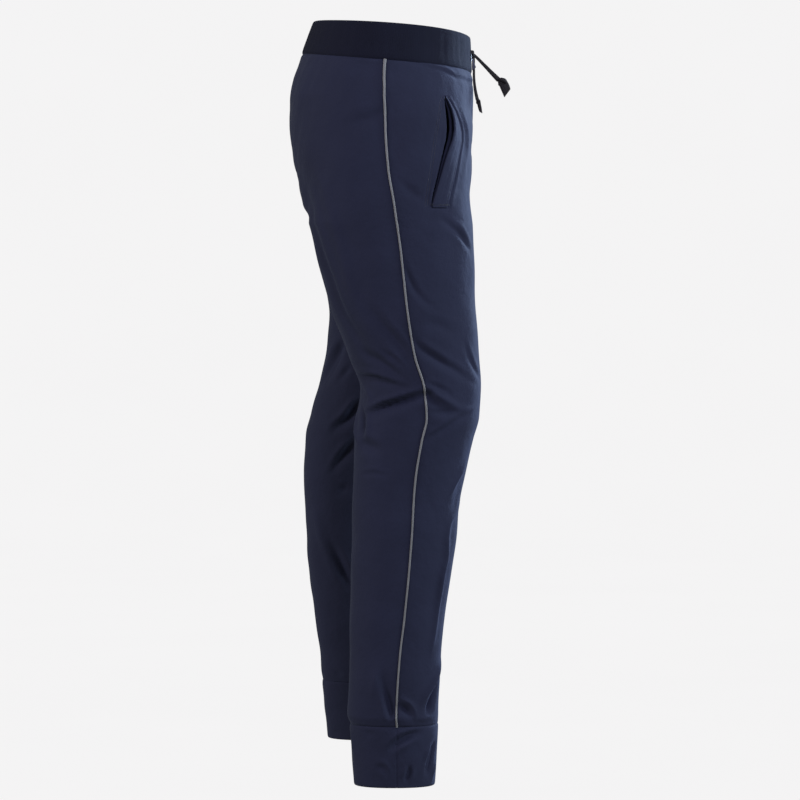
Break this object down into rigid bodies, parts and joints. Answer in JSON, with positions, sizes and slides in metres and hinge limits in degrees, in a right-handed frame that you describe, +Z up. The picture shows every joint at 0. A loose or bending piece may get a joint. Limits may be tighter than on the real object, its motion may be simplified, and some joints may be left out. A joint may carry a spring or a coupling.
{
  "type": "cuffed jogging trousers, worn form",
  "caption": "Hollow, worn, walking pull-on trousers with elastic waistband, drawcord, welt pockets, corded side seams and sewn-on ankle cuffs.",
  "frame": {"origin": "middle of the waist, at half the waistband's height at the side seam", "axes": "+Z up along the body, -Y towards the wearer's front, +X towards the wearer's left"},
  "size_m": [0.3676, 0.2993, 1.038],
  "materials": {
    "cloth": "matt, soft light-weight weave",
    "cuff_cloth": "matt, soft light-weight weave",
    "waist_rib": "matt, fine rib",
    "pocket_lining": "matt",
    "reflective_piping": "satin, retroreflective grey",
    "drawcord": "matt, flat braid",
    "eyelet_metal": "satin black"
  },
  "bodies": {
    "root": {"waistband": "waist_rib", "front_right": "cloth", "front_left": "cloth", "back_right": "cloth", "back_left": "cloth", "cuff_right": "cuff_cloth", "cuff_left": "cuff_cloth", "pocket_welt_right": "cloth", "pocket_welt_left": "cloth", "pocket_bag_right": "pocket_lining", "pocket_bag_left": "pocket_lining", "piping_right": "reflective_piping", "piping_left": "reflective_piping", "eyelet_right": "eyelet_metal", "eyelet_left": "eyelet_metal", "drawcord_tie_right": "drawcord", "drawcord_tie_left": "drawcord", "drawcord_knot": "drawcord", "drawcord_loop": "drawcord", "drawcord_right": "drawcord", "drawcord_left": "drawcord", "cord_end_right": "drawcord", "cord_end_left": "drawcord"}
  },
  "joints": []
}
